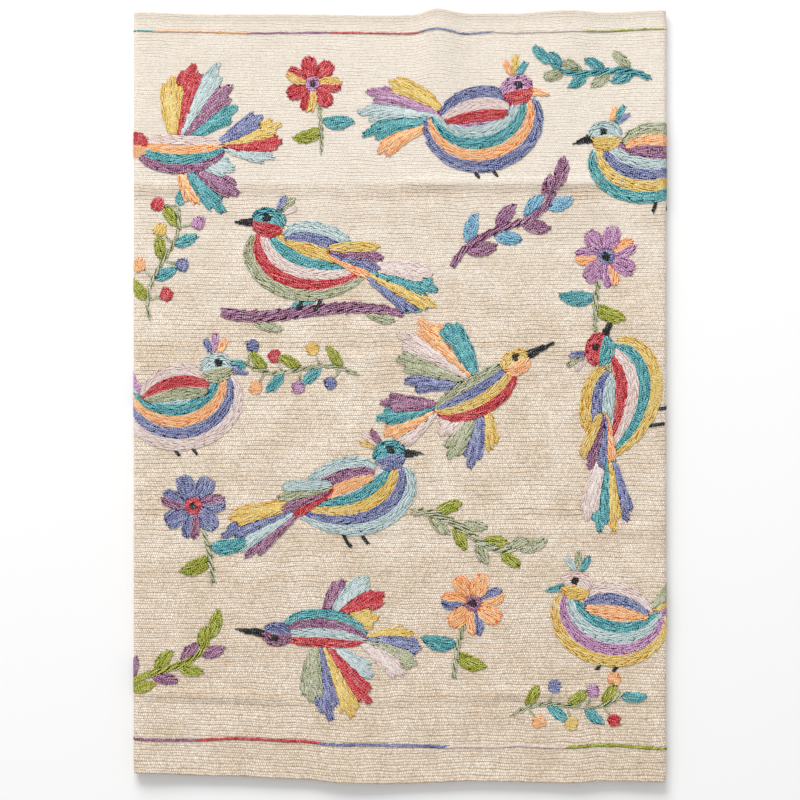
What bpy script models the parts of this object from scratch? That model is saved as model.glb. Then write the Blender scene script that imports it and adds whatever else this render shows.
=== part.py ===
"""A hand-woven area rug folded in three like a letter, lying face up on a flat surface.

The rug is one sheet. Both of its ends are turned under, so that the middle of its length
faces up. Going along the sheet, it runs leftwards on the floor as the bottom layer, turns up
round the left fold, runs rightwards as the top layer, turns down round the right fold, and
runs leftwards again between the two as the middle layer, which ends short of the left fold.

Metres, +Z up. +X is to the right across the folds and +Y is away, along the folds. The
origin is under the middle of the folded rug, on the surface that it lies on.
"""

import math

import bmesh
import bpy
import numpy as np

# The cut size of the rug and the width of the folded bundle, over its two folds.
RUG_LENGTH = 1.829
RUG_WIDTH = 0.914
FOLDED_WIDTH = 0.634
CLOTH_THICKNESS = 0.0032
LAYER_GAP = 0.0014

# The cloth is too thick to crease sharply, so each fold is a loose loop, and the top layer
# rises to it over the last of its length.
LEFT_FOLD_RADIUS = 0.0060
RIGHT_FOLD_RADIUS = 0.0046
RISE_LENGTH = 0.075
# The right fold hangs past the bottom layer's free end, which stops short of it.
BOTTOM_END_INSET = 0.040
RIGHT_FOLD_LOW_Z = 0.0036
DROOP_LENGTH = 0.028

LAYER_PITCH = CLOTH_THICKNESS + LAYER_GAP
BOTTOM_Z = CLOTH_THICKNESS / 2
MIDDLE_Z = BOTTOM_Z + LAYER_PITCH
TOP_Z = MIDDLE_Z + LAYER_PITCH

BOTTOM_END_X = FOLDED_WIDTH / 2 - BOTTOM_END_INSET
LEFT_FOLD_X = -FOLDED_WIDTH / 2 + CLOTH_THICKNESS / 2 + LEFT_FOLD_RADIUS
RIGHT_FOLD_X = FOLDED_WIDTH / 2 - CLOTH_THICKNESS / 2 - RIGHT_FOLD_RADIUS
LEFT_RISE = BOTTOM_Z + 2 * LEFT_FOLD_RADIUS - TOP_Z
RIGHT_RISE = RIGHT_FOLD_LOW_Z + 2 * RIGHT_FOLD_RADIUS - TOP_Z
DROOP_X = RIGHT_FOLD_X - DROOP_LENGTH

# How many steps each stretch of the sheet is drawn in.
STEPS = {"bottom": 5, "left fold": 10, "top": 44, "right fold": 10, "droop": 5, "middle": 4}

# The two long edges are uneven, as hand-woven edges are. "out" is how far each stands out
# past half the rug's width, at a place across the top layer. The lower layers keep inside.
FAR_EDGE = (
    # across, out
    (-0.317, 0.0006),
    (-0.226, -0.0018),
    (-0.119, -0.0018),
    (-0.012, -0.0030),
    (0.014, -0.0024),
    (0.044, 0.0042),
    (0.077, -0.0006),
    (0.131, -0.0006),
    (0.202, 0.0030),
    (0.243, 0.0006),
    (0.317, 0.0030),
)
NEAR_EDGE = (
    # across, out
    (-0.317, -0.0125),
    (-0.208, -0.0089),
    (-0.119, -0.0053),
    (-0.065, -0.0006),
    (-0.012, 0.0006),
    (0.042, -0.0012),
    (0.077, -0.0030),
    (0.202, -0.0006),
    (0.237, -0.0030),
    (0.317, -0.0018),
)
EDGE_FADE = 0.20
LOWER_LAYER_INSET = 0.004
INSET_REACH = 0.05

# Ripples that lift the top layer at its long edges and die out towards its middle.
RIPPLES = (
    # edge, across, half width, height, reach
    ("far", 0.046, 0.040, 0.0080, 0.17),
    ("far", 0.200, 0.055, 0.0045, 0.14),
    ("far", -0.180, 0.070, 0.0020, 0.12),
    ("near", -0.055, 0.060, 0.0030, 0.12),
    ("near", 0.215, 0.045, 0.0020, 0.10),
)

# Soft ridges left by an earlier folding, running across the top layer.
CREASES = (
    # along, half width, height at the left, height at the right
    (0.256, 0.012, 0.0008, 0.0017),
    (0.048, 0.011, 0.0009, 0.0007),
    (-0.152, 0.011, 0.0005, 0.0008),
    (-0.353, 0.012, 0.0013, 0.0012),
)
CREASE_ROWS = (-1.0, -0.5, 0.0, 0.5, 1.0)
ROW_SPACING = 0.07
# The top layer lies flat where it turns into a fold.
FOLD_FLAT = 0.03

CLOTH_COLOUR = (0.70, 0.61, 0.48, 1.0)
CLOTH_ROUGHNESS = 0.95


def smooth(value):
    """A smooth step from 0 to 1 as the value goes from 0 to 1."""
    held = min(max(value, 0.0), 1.0)
    return held * held * (3 - 2 * held)


def bump(distance, half_width):
    """A soft hump, 1 at its crest and 0 from the half width on."""
    return 1 - smooth(abs(distance) / half_width)


def top_height(x):
    """The height of the top layer, which rises to the loop at each end."""
    to_left = 1 - smooth((x - LEFT_FOLD_X) / RISE_LENGTH)
    to_right = 1 - smooth((RIGHT_FOLD_X - x) / RISE_LENGTH)
    return TOP_Z + LEFT_RISE * to_left + RIGHT_RISE * to_right


def droop_height(x):
    """The height of the cloth that hangs from the middle layer to the foot of the right fold."""
    return RIGHT_FOLD_LOW_Z + (MIDDLE_Z - RIGHT_FOLD_LOW_Z) * smooth(
        (RIGHT_FOLD_X - x) / DROOP_LENGTH
    )


def path_of_the_fold():
    """The middle line of the folded sheet as (stretch, x, z), from its bottom to its middle end."""
    path = [("bottom", BOTTOM_END_X, BOTTOM_Z)]

    def run(stretch, to_x, height):
        """A stretch that runs along X, at the height that a function of X gives."""
        from_x = path[-1][1]
        for step in range(1, STEPS[stretch] + 1):
            x = from_x + (to_x - from_x) * step / STEPS[stretch]
            path.append((stretch, x, height(x)))

    def fold(stretch, centre_x, centre_z, radius, start):
        """A half turn about a centre, clockwise from a start angle in degrees."""
        for step in range(1, STEPS[stretch] + 1):
            angle = math.radians(start - 180 * step / STEPS[stretch])
            path.append(
                (stretch, centre_x + radius * math.cos(angle), centre_z + radius * math.sin(angle))
            )

    run("bottom", LEFT_FOLD_X, lambda x: BOTTOM_Z)
    fold("left fold", LEFT_FOLD_X, BOTTOM_Z + LEFT_FOLD_RADIUS, LEFT_FOLD_RADIUS, 270)
    run("top", RIGHT_FOLD_X, top_height)
    fold("right fold", RIGHT_FOLD_X, RIGHT_FOLD_LOW_Z + RIGHT_FOLD_RADIUS, RIGHT_FOLD_RADIUS, 90)
    run("droop", DROOP_X, droop_height)
    run("middle", DROOP_X - (RUG_LENGTH - length_of(path)), lambda x: MIDDLE_Z)
    return path


def length_of(path):
    """The length of a path of (stretch, x, z)."""
    points = np.array([point[1:] for point in path])
    return float(np.linalg.norm(np.diff(points, axis=0), axis=1).sum())


def rows_across_the_width():
    """Places along Y where the sheet is drawn, evenly spaced and closer at each crease."""
    count = round(RUG_WIDTH / ROW_SPACING)
    even = [RUG_WIDTH * (step / count - 0.5) for step in range(count + 1)]
    creased = [
        along + half_width * row for along, half_width, _, _ in CREASES for row in CREASE_ROWS
    ]
    clear = [
        y for y in even if all(abs(y - along) > 1.5 * half for along, half, _, _ in CREASES)
    ]
    return sorted(clear + creased)


def edge_shift(x, y, inset):
    """How far the uneven edges move a point along Y. It fades out away from each edge."""
    shift = 0.0
    for table, side in ((FAR_EDGE, 1), (NEAR_EDGE, -1)):
        across, out = np.array(table).T
        share = 1 - smooth((RUG_WIDTH / 2 - side * y) / EDGE_FADE)
        shift += side * share * (float(np.interp(x, across, out)) - inset)
    return shift


def lift(x, y):
    """How far ripples and creases lift the top layer at a point."""
    height = 0.0
    for edge, across, half_width, top, reach in RIPPLES:
        side = 1 if edge == "far" else -1
        fade = 1 - smooth((RUG_WIDTH / 2 - side * y) / reach)
        height += top * fade * bump(x - across, half_width)
    share = x / FOLDED_WIDTH + 0.5
    for along, half_width, left, right in CREASES:
        height += (left + (right - left) * share) * bump(y - along, half_width)
    return height * smooth((FOLDED_WIDTH / 2 - abs(x)) / FOLD_FLAT)


def inset_of(stretch, x):
    """How far a layer keeps inside the top layer's long edges, growing away from its fold."""
    from_left = x - LEFT_FOLD_X
    from_right = RIGHT_FOLD_X - x
    from_fold = {"bottom": from_left, "droop": from_right, "middle": from_right}
    return LOWER_LAYER_INSET * smooth(from_fold.get(stretch, 0.0) / INSET_REACH)


def sheet_point(stretch, x, z, y):
    """A point of the folded sheet's middle surface."""
    height = z + lift(x, y) if stretch == "top" else z
    return x, y + edge_shift(x, y, inset_of(stretch, x)), height


def cloth_material():
    """Undyed cotton."""
    material = bpy.data.materials.new("undyed_cotton")
    material.use_nodes = True
    shader = material.node_tree.nodes["Principled BSDF"]
    shader.inputs["Base Color"].default_value = CLOTH_COLOUR
    shader.inputs["Roughness"].default_value = CLOTH_ROUGHNESS
    shader.inputs["Metallic"].default_value = 0.0
    return material


def folded_rug():
    """The whole rug: a flat grid laid along the fold's path, then given its thickness."""
    path = path_of_the_fold()
    rows = rows_across_the_width()
    sheet = bmesh.new()
    bmesh.ops.create_grid(sheet, x_segments=len(path) - 1, y_segments=len(rows) - 1, size=1.0)
    for vertex in sheet.verts:
        column = round((vertex.co.x + 1) / 2 * (len(path) - 1))
        row = round((vertex.co.y + 1) / 2 * (len(rows) - 1))
        vertex.co = sheet_point(*path[column], rows[row])
    lowest = np.min([vertex.co for vertex in sheet.verts], axis=0)
    highest = np.max([vertex.co for vertex in sheet.verts], axis=0)
    middle_y = (lowest[1] + highest[1]) / 2
    bmesh.ops.translate(sheet, verts=sheet.verts, vec=(0.0, -middle_y, 0.0))
    mesh = bpy.data.meshes.new("rug")
    sheet.to_mesh(mesh)
    sheet.free()
    mesh.materials.append(cloth_material())
    rug = bpy.data.objects.new("rug", mesh)
    bpy.context.scene.collection.objects.link(rug)
    thickness = rug.modifiers.new("cloth thickness", "SOLIDIFY")
    thickness.thickness = CLOTH_THICKNESS
    thickness.offset = 0.0
    thickness.use_even_offset = True
    return rug


for leftover in list(bpy.data.objects):
    bpy.data.objects.remove(leftover)
folded_rug()
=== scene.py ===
"""The looks of a hand-woven, embroidered area rug, folded in three and lying face up.

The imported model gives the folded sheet. This script dresses it: the ribbed cloth itself, the
wool stitched through it, a pale floor and soft studio light. Metres, +Z up. A place on the
cloth is given by how far it is along the rug's length and across its width.
"""

import math
from functools import partialmethod

import bmesh
import bpy
import numpy as np
from mathutils import Matrix


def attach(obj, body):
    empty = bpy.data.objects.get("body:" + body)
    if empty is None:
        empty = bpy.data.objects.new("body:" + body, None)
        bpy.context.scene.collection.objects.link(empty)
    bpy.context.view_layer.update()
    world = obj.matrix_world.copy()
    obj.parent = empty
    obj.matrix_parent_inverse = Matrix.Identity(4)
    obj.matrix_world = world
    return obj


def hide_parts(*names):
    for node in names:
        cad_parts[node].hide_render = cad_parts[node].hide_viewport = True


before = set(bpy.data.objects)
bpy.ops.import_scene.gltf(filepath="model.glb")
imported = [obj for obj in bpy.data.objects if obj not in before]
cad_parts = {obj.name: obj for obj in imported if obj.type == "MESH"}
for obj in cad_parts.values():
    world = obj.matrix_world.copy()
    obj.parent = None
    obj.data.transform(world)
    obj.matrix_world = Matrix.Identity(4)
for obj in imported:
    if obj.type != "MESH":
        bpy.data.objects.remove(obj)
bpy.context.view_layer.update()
chance = np.random.default_rng(11)


# The folded sheet. One length of thick cotton cloth, turned under at both ends as a letter is:
# along it come the bottom layer, the left fold, the face, the right fold, and the middle layer.
# These sizes are the solid's own, so that everything laid on the cloth meets it.
RUG_LENGTH = 1.829
RUG_WIDTH = 0.914
FOLDED_WIDTH = 0.634
LAYER_PITCH = 0.0046
LEFT_FOLD_RADIUS = 0.0060
RIGHT_FOLD_RADIUS = 0.0046
RISE_LENGTH = 0.075
BOTTOM_END_INSET = 0.040
RIGHT_FOLD_LOW_Z = 0.0036
DROOP_LENGTH = 0.028
HALF_SOLID = 0.0016

BOTTOM_Z = HALF_SOLID
MIDDLE_Z = BOTTOM_Z + LAYER_PITCH
TOP_Z = MIDDLE_Z + LAYER_PITCH
BOTTOM_END_X = FOLDED_WIDTH / 2 - BOTTOM_END_INSET
LEFT_FOLD_X = -FOLDED_WIDTH / 2 + HALF_SOLID + LEFT_FOLD_RADIUS
RIGHT_FOLD_X = FOLDED_WIDTH / 2 - HALF_SOLID - RIGHT_FOLD_RADIUS
LEFT_RISE = BOTTOM_Z + 2 * LEFT_FOLD_RADIUS - TOP_Z
RIGHT_RISE = RIGHT_FOLD_LOW_Z + 2 * RIGHT_FOLD_RADIUS - TOP_Z

FAR_EDGE = (
    # across the face, out past half the width
    (-0.317, 0.0006),
    (-0.226, -0.0018),
    (-0.119, -0.0018),
    (-0.012, -0.0030),
    (0.014, -0.0024),
    (0.044, 0.0042),
    (0.077, -0.0006),
    (0.131, -0.0006),
    (0.202, 0.0030),
    (0.243, 0.0006),
    (0.317, 0.0030),
)
NEAR_EDGE = (
    # across the face, out past half the width
    (-0.317, -0.0125),
    (-0.208, -0.0089),
    (-0.119, -0.0053),
    (-0.065, -0.0006),
    (-0.012, 0.0006),
    (0.042, -0.0012),
    (0.077, -0.0030),
    (0.202, -0.0006),
    (0.237, -0.0030),
    (0.317, -0.0018),
)
EDGE_FADE = 0.20
LOWER_LAYER_INSET = 0.004
INSET_REACH = 0.05
RIPPLES = (
    # side, place, half width, height, reach in from the edge
    (1, 0.046, 0.040, 0.0080, 0.17),
    (1, 0.200, 0.055, 0.0045, 0.14),
    (1, -0.180, 0.070, 0.0020, 0.12),
    (-1, -0.055, 0.060, 0.0030, 0.12),
    (-1, 0.215, 0.045, 0.0020, 0.10),
)
CREASES = (
    # across the width, half width, height at the left, height at the right, trough's side
    (0.256, 0.012, 0.0008, 0.0017, -1),
    (0.048, 0.011, 0.0009, 0.0007, 1),
    (-0.152, 0.011, 0.0005, 0.0008, 1),
    (-0.353, 0.012, 0.0013, 0.0012, -1),
)
FOLD_FLAT = 0.03
# The solid's box is centred between the furthest points of its two long edges.
MIDDLE_Y = (max(out for _, out in FAR_EDGE) - max(out for _, out in NEAR_EDGE)) / 2


def smooth(value):
    """A smooth step from 0 to 1 as the value goes from 0 to 1."""
    held = np.clip(value, 0, 1)
    return held * held * (3 - 2 * held)


def edge_out(table, x):
    """How far an edge stands out at a place across the face, in soft curves between its points."""
    places, out = np.array(table).T
    spot = np.clip(np.searchsorted(places, x) - 1, 0, len(places) - 2)
    share = smooth((x - places[spot]) / (places[spot + 1] - places[spot]))
    return out[spot] + (out[spot + 1] - out[spot]) * share


def half_turn(centre_x, centre_z, radius, start):
    """A fold, clockwise from a start angle in degrees."""
    angle = np.radians(start - np.linspace(0, 180, 49))
    return centre_x + radius * np.cos(angle), centre_z + radius * np.sin(angle)


def face_height(x):
    """The face rises to the loose loop of the fold at each end."""
    to_left = 1 - smooth((x - LEFT_FOLD_X) / RISE_LENGTH)
    to_right = 1 - smooth((RIGHT_FOLD_X - x) / RISE_LENGTH)
    return TOP_Z + LEFT_RISE * to_left + RIGHT_RISE * to_right


def fold_line():
    """The sheet's middle line as (x, z), and how far along it each stretch ends."""
    bottom_x = np.linspace(BOTTOM_END_X, LEFT_FOLD_X, 60)
    face_x = np.linspace(LEFT_FOLD_X, RIGHT_FOLD_X, 400)
    droop_x = np.linspace(RIGHT_FOLD_X, RIGHT_FOLD_X - DROOP_LENGTH, 40)
    droop_share = smooth((RIGHT_FOLD_X - droop_x) / DROOP_LENGTH)
    left_centre_z = BOTTOM_Z + LEFT_FOLD_RADIUS
    right_centre_z = RIGHT_FOLD_LOW_Z + RIGHT_FOLD_RADIUS
    stretches = [
        (bottom_x, np.full_like(bottom_x, BOTTOM_Z)),
        half_turn(LEFT_FOLD_X, left_centre_z, LEFT_FOLD_RADIUS, 270),
        (face_x, face_height(face_x)),
        half_turn(RIGHT_FOLD_X, right_centre_z, RIGHT_FOLD_RADIUS, 90),
        (droop_x, RIGHT_FOLD_LOW_Z + (MIDDLE_Z - RIGHT_FOLD_LOW_Z) * droop_share),
    ]
    lengths = [np.hypot(np.diff(x), np.diff(z)).sum() for x, z in stretches]
    middle_end_x = droop_x[-1] - (RUG_LENGTH - sum(lengths))
    stretches.append((np.array([droop_x[-1], middle_end_x]), np.array([MIDDLE_Z, MIDDLE_Z])))
    x, z = (np.concatenate(places) for places in zip(*stretches))
    along = np.concatenate([[0], np.cumsum(np.hypot(np.diff(x), np.diff(z)))])
    return along, x, z, np.concatenate([np.cumsum(lengths), [RUG_LENGTH]])


LINE_ALONG, LINE_X, LINE_Z, STRETCH_ENDS = fold_line()
BOTTOM_STOP, FACE_START, FACE_STOP, RIGHT_FOLD_STOP = STRETCH_ENDS[:4]
FACE_MIDDLE = (FACE_START + FACE_STOP) / 2


def crease_height(x, across):
    """Soft ridges left by an earlier folding. They waver, and fade unevenly across the face."""
    height = np.zeros_like(x)
    share = x / FOLDED_WIDTH + 0.5
    for number, (place, half_width, left, right, side) in enumerate(CREASES):
        waver = 0.0034 * np.sin(9 * x + 2.1 * number) + 0.0016 * np.sin(31 * x + number) - 0.003
        uneven = 0.74 + 0.40 * np.sin(15 * x + 1.7 * number) + 0.24 * np.sin(37 * x + 5 * number)
        ridge = 1 - smooth(abs(across - place - waver) / half_width)
        beside = place + waver + side * 1.1 * half_width
        trough = 1 - smooth(abs(across - beside) / half_width)
        height += (left + (right - left) * share) * uneven * (ridge - 0.45 * trough)
    return height


def sheet_surface(along, across):
    """The sheet's middle surface, in metres, as arrays of x, y and z."""
    x = np.interp(along, LINE_ALONG, LINE_X)
    z = np.interp(along, LINE_ALONG, LINE_Z)
    from_left = np.where(along < BOTTOM_STOP, x - LEFT_FOLD_X, 0)
    from_right = np.where(along > RIGHT_FOLD_STOP, RIGHT_FOLD_X - x, 0)
    inset = LOWER_LAYER_INSET * smooth((from_left + from_right) / INSET_REACH)
    y = across - MIDDLE_Y
    for table, side in ((FAR_EDGE, 1), (NEAR_EDGE, -1)):
        share = 1 - smooth((RUG_WIDTH / 2 - side * across) / EDGE_FADE)
        y = y + side * share * (edge_out(table, x) - inset)
    lift = crease_height(x, across)
    for side, place, half_width, height, reach in RIPPLES:
        fade = 1 - smooth((RUG_WIDTH / 2 - side * across) / reach)
        lift = lift + height * fade * (1 - smooth(abs(x - place) / half_width))
    on_face = (along >= FACE_START) & (along <= FACE_STOP)
    flat = smooth((FOLDED_WIDTH / 2 - abs(x)) / FOLD_FLAT)
    return np.stack([x, y, z + np.where(on_face, lift * flat, 0)], axis=-1)


def on_the_cloth(along, across, height):
    """Points that stand at a height out of the sheet's middle surface, on its face side."""
    step = 0.0008
    ahead = np.minimum(along + step, RUG_LENGTH)
    behind = np.maximum(along - step, 0)
    forward = sheet_surface(ahead, across) - sheet_surface(behind, across)
    sideways = sheet_surface(along, across + step) - sheet_surface(along, across - step)
    outward = np.cross(forward, sideways)
    outward /= np.linalg.norm(outward, axis=-1, keepdims=True)
    return sheet_surface(along, across) + outward * np.asarray(height)[..., None]


# The woven cloth. Thick soft weft lies in ribs along the rug's length, and fine warp threads
# cross over and under them. It is beaten up by hand, so the ribs differ and wander a little.
RIB_COUNT = 182
RIB_DEPTH = 0.00024
VALLEY_HEIGHT = 0.00055
BACK_HEIGHT = -0.00120
BACK_ROWS = 40
RIB_ROWS = (
    # share of the rib, share of its depth
    (0.00, 0.00),
    (0.22, 0.74),
    (0.50, 1.00),
    (0.78, 0.74),
)
RIB_WIDTHS = (
    # share of the way to the far edge, width against the others
    (0.12, 5.7),
    (0.25, 5.1),
    (0.45, 4.4),
    (0.65, 4.0),
    (0.85, 3.4),
    (1.00, 3.1),
)
RIM = (
    # out past the edge, height
    (0.00035, 0.00030),
    (0.00050, -0.00030),
    (0.00030, -0.00090),
)
# The mesh's columns in each stretch of the fold, and where the ribs' wander fades at an edge.
COLUMNS = (10, 12, 74, 12, 4, 6)
STEADY_EDGE = 0.02
# The bake map gives the face most of its width and height, and the cut ends a strip each.
FACE_SHARE = 0.76
FACE_MARGIN = 0.02
MAP_WIDTHS = (0.0, 0.19, 0.775, 0.965)
END_STRIPS = (0.970, 0.986)
END_STRIP_WIDTH = 0.010
# Painted shadow: in a band on the near side of each crease, where its ridge shades the cloth, the
# cloth is painted darker and its weave lines stronger.
CREASE_SHADOW_BANDS = (
    # far edge from the middle, depth, strength at the left, strength at the right
    (0.2530, 0.014, 0.42, 0.56),
    (0.2400, 0.040, 0.10, 0.24),
    (0.0670, 0.008, 0.40, 0.30),
    (-0.1320, 0.008, 0.60, 0.45),
    (-0.3500, 0.008, 0.45, 0.35),
)


def rib_edges():
    """Where each rib starts across the width. The ribs vary, and are finer at the far side."""
    widths = np.clip(1 + 0.10 * chance.standard_normal(RIB_COUNT), 0.75, 1.30)
    shares, wide = np.array(RIB_WIDTHS).T
    even = np.linspace(0, 1, 200)
    usual = np.interp(even, shares, wide)
    counted = np.cumsum(1 / usual)
    widths *= np.interp(np.linspace(0, 1, RIB_COUNT), counted / counted[-1], usual)
    edges = np.concatenate([[0], np.cumsum(widths)])
    return (edges / edges[-1] - 0.5) * RUG_WIDTH


def section_rows():
    """The rows of one slice through the cloth: the ribbed face, a rim, the back and a rim."""
    edges = rib_edges()
    shares, rises = np.array(RIB_ROWS).T
    across = np.append(edges[:-1, None] + np.diff(edges)[:, None] * shares, edges[-1])
    rib = np.append(np.arange(RIB_COUNT)[:, None] + shares, RIB_COUNT)
    depth = np.append(np.tile(rises, RIB_COUNT), 0)
    half = RUG_WIDTH / 2
    face = np.stack([across, rib, depth, np.full(len(rib), VALLEY_HEIGHT)], axis=1)
    far_rim = np.array([(half + out, RIB_COUNT, 0, height) for out, height in RIM])
    back_ends = ((half, RIB_COUNT, 0, BACK_HEIGHT), (-half, 0, 0, BACK_HEIGHT))
    back = np.linspace(*back_ends, BACK_ROWS)
    near_rim = np.array([(-half - out, 0, 0, height) for out, height in reversed(RIM)])
    return np.concatenate([face, far_rim, back, near_rim, face[:1]])


def column_places():
    """How far along the sheet each column of the mesh lies, close together where it shows."""
    starts = np.concatenate([[0], STRETCH_ENDS[:-1]])
    places = [
        np.linspace(start, stop, count, endpoint=False)
        for start, stop, count in zip(starts, STRETCH_ENDS, COLUMNS)
    ]
    return np.concatenate(places + [[RUG_LENGTH]])


def woven_mesh():
    """One closed mesh: a grid wrapped round the slice's rows and laid along the fold."""
    rows = section_rows()
    columns = column_places()
    last_row = len(rows) - 1
    last_column = len(columns) - 1
    along = np.repeat(columns[:, None], len(rows), axis=1)
    across, rib, depth, level = (np.tile(row, (len(columns), 1)) for row in rows.T)
    # The ribs wander by a millimetre or so, most of all at the far side, but not at the edges.
    inner = 1 - smooth((abs(across) - RUG_WIDTH / 2 + STEADY_EDGE) / STEADY_EDGE)
    wander = 0.0005 * np.sin(21 * along + 13 * across) + 0.0004 * np.sin(57 * along - 31 * across)
    patchy = smooth(0.5 + np.sin(11 * along + 5 * across) * np.sin(8 * across - 3 * along))
    wander += 0.0006 * patchy * np.sin(140 * along + 20 * across)
    far_side = smooth((across - 0.15) / 0.1)
    wander += 0.0005 * far_side * np.sin(95 * along + 9 * np.sin(23 * across))
    # They are thick and thin by turns, and lower and more even at the far side.
    thick = 1 + 0.45 * np.sin(9 * rib + 63 * along) * np.sin(4 * rib - 171 * along)
    fine = smooth((across - 0.02) / 0.25)
    height = level + RIB_DEPTH * depth * (thick + (1 - thick) * fine) * (1 - 0.5 * fine)
    places = on_the_cloth(along, across + wander * inner, height)

    sheet = bmesh.new()
    bmesh.ops.create_grid(sheet, x_segments=last_column, y_segments=last_row, size=1.0)
    weave = sheet.verts.layers.float_vector.new("weave")
    for vertex in sheet.verts:
        column = round((vertex.co.x + 1) / 2 * last_column)
        row = round((vertex.co.y + 1) / 2 * last_row)
        vertex.co = places[column, row]
        vertex[weave] = (along[column, row], rib[column, row], row)
    seam = [v for v in sheet.verts if v[weave].z in (0, last_row)]
    bmesh.ops.remove_doubles(sheet, verts=seam, dist=1e-7)
    bmesh.ops.holes_fill(sheet, edges=sheet.edges, sides=0)
    ends = [face for face in sheet.faces if len(face.verts) > 4]
    bmesh.ops.triangulate(sheet, faces=ends)
    bmesh.ops.recalc_face_normals(sheet, faces=sheet.faces)
    for face in sheet.faces:
        face.smooth = True
    map_for_baking(sheet, weave, rows)
    mesh = bpy.data.meshes.new("woven_cloth")
    sheet.to_mesh(mesh)
    sheet.free()
    return mesh


def map_for_baking(sheet, weave, rows):
    """Lays the sheet out flat for the bake, and its two cut ends beside it."""
    face_last = len(RIB_ROWS) * RIB_COUNT
    last_row = len(rows) - 1
    up = FACE_SHARE * (rows[:, 0] / RUG_WIDTH + 0.5)
    up[face_last:] = np.linspace(FACE_SHARE, 1, last_row - face_last + 1)
    turns = (0, FACE_START - FACE_MARGIN, FACE_STOP + FACE_MARGIN, RUG_LENGTH)
    deep = (rows[:, 3] - BACK_HEIGHT) / (VALLEY_HEIGHT - BACK_HEIGHT) * END_STRIP_WIDTH
    bake = sheet.loops.layers.uv.new("OFBake")
    for face in sheet.faces:
        spots = [corner.vert[weave] for corner in face.loops]
        numbers = [int(spot.z) for spot in spots]
        wrapped = max(numbers) - min(numbers) > 1
        at_end = max(spot.x for spot in spots) - min(spot.x for spot in spots) < 1e-6
        for corner, spot, number in zip(face.loops, spots, numbers):
            if at_end:
                strip = END_STRIPS[spot.x > RUG_LENGTH / 2]
                corner[bake].uv = (strip + deep[number], rows[number, 0] / RUG_WIDTH + 0.5)
            else:
                if wrapped and number in (0, last_row):
                    number = last_row - number
                corner[bake].uv = (np.interp(spot.x, turns, MAP_WIDTHS), up[number])


class Number:
    """A value in a material's nodes, to start a sum with. It can be taken from a number too."""

    def __init__(self, nodes, socket):
        self.nodes = nodes
        self.socket = socket

    def worked(self, operation, *others):
        """The result of one Math node, given this value and then any others."""
        sockets = dict(enumerate((self, *others)))
        return self.nodes.number("ShaderNodeMath", {"operation": operation}, sockets)

    __add__ = partialmethod(worked, "ADD")
    __sub__ = partialmethod(worked, "SUBTRACT")
    __mul__ = partialmethod(worked, "MULTIPLY")
    __truediv__ = partialmethod(worked, "DIVIDE")
    floor = partialmethod(worked, "FLOOR")
    share = partialmethod(worked, "FRACT")
    size = partialmethod(worked, "ABSOLUTE")

    def __rsub__(self, other):
        return self * -1 + other

    def wave(self):
        """A wave from 0 to 1, one for each unit of the value."""
        return (self * (2 * math.pi)).worked("COSINE") * 0.5 + 0.5

    def step(self, low, high):
        """A smooth step from 0 to 1 as the value goes from low to high."""
        sockets = {"Value": self, "From Min": low, "From Max": high}
        return self.nodes.number("ShaderNodeMapRange", {"interpolation_type": "SMOOTHSTEP"}, sockets)


class Nodes:
    """The nodes of one material, added to its surface shader."""

    def __init__(self, name):
        self.material = bpy.data.materials.new(name)
        self.material.use_nodes = True
        self.tree = self.material.node_tree
        self.surface = self.tree.nodes["Principled BSDF"]

    def node(self, kind, settings, sockets):
        """Adds a node of a kind, with its settings, then its socket values or links."""
        node = self.tree.nodes.new(kind)
        for name, setting in settings.items():
            setattr(node, name, setting)
        for name, value in sockets.items():
            self.join(node.inputs[name], value)
        return node

    def number(self, kind, settings, sockets):
        """Adds a node and takes its first output."""
        return Number(self, self.node(kind, settings, sockets).outputs[0])

    def join(self, socket, value):
        """Links a value to a socket, or sets it there."""
        if isinstance(value, Number):
            self.tree.links.new(value.socket, socket)
        elif isinstance(value, bpy.types.NodeSocket):
            self.tree.links.new(value, socket)
        else:
            socket.default_value = value

    def attribute(self, name, output):
        """What the mesh holds under a name."""
        return self.node("ShaderNodeAttribute", {"attribute_name": name}, {}).outputs[output]

    def place(self):
        """Where the surface lies, in metres."""
        return self.node("ShaderNodeTexCoord", {}, {}).outputs["Object"]

    def parts(self, vector):
        """A vector's three numbers."""
        node = self.node("ShaderNodeSeparateXYZ", {}, {0: vector})
        return [Number(self, output) for output in node.outputs]

    def point(self, x, y, z):
        return self.node("ShaderNodeCombineXYZ", {}, {0: x, 1: y, 2: z}).outputs[0]

    def noise(self, vector, scale, detail=2.0):
        sockets = {"Vector": vector, "Scale": scale, "Detail": detail}
        return self.number("ShaderNodeTexNoise", {}, sockets)

    def cloud(self, x, y, seed, detail=2.0):
        """Noise in patches about one unit wide. Each seed gives other patches."""
        return self.noise(self.point(x, y, seed), 1.0, detail)

    def speck(self, x, y):
        """A random number for each pair of values."""
        settings = {"noise_dimensions": "2D"}
        return self.number("ShaderNodeTexWhiteNoise", settings, {"Vector": self.point(x, y, 0)})

    def mix(self, share, first, second, kind="MIX"):
        """A colour between two others, or one worked on by the other."""
        settings = {"data_type": "RGBA", "blend_type": kind}
        return self.node("ShaderNodeMix", settings, {0: share, 6: first, 7: second}).outputs[2]

    def complete(self, values, height, strength, distance):
        """The material, once its surface has its values and its grain."""
        sockets = {"Height": height, "Strength": strength, "Distance": distance}
        bump = self.node("ShaderNodeBump", {}, sockets)
        self.join(self.surface.inputs["Normal"], bump.outputs[0])
        for name, value in values.items():
            self.join(self.surface.inputs[name], value)
        return self.material


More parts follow.
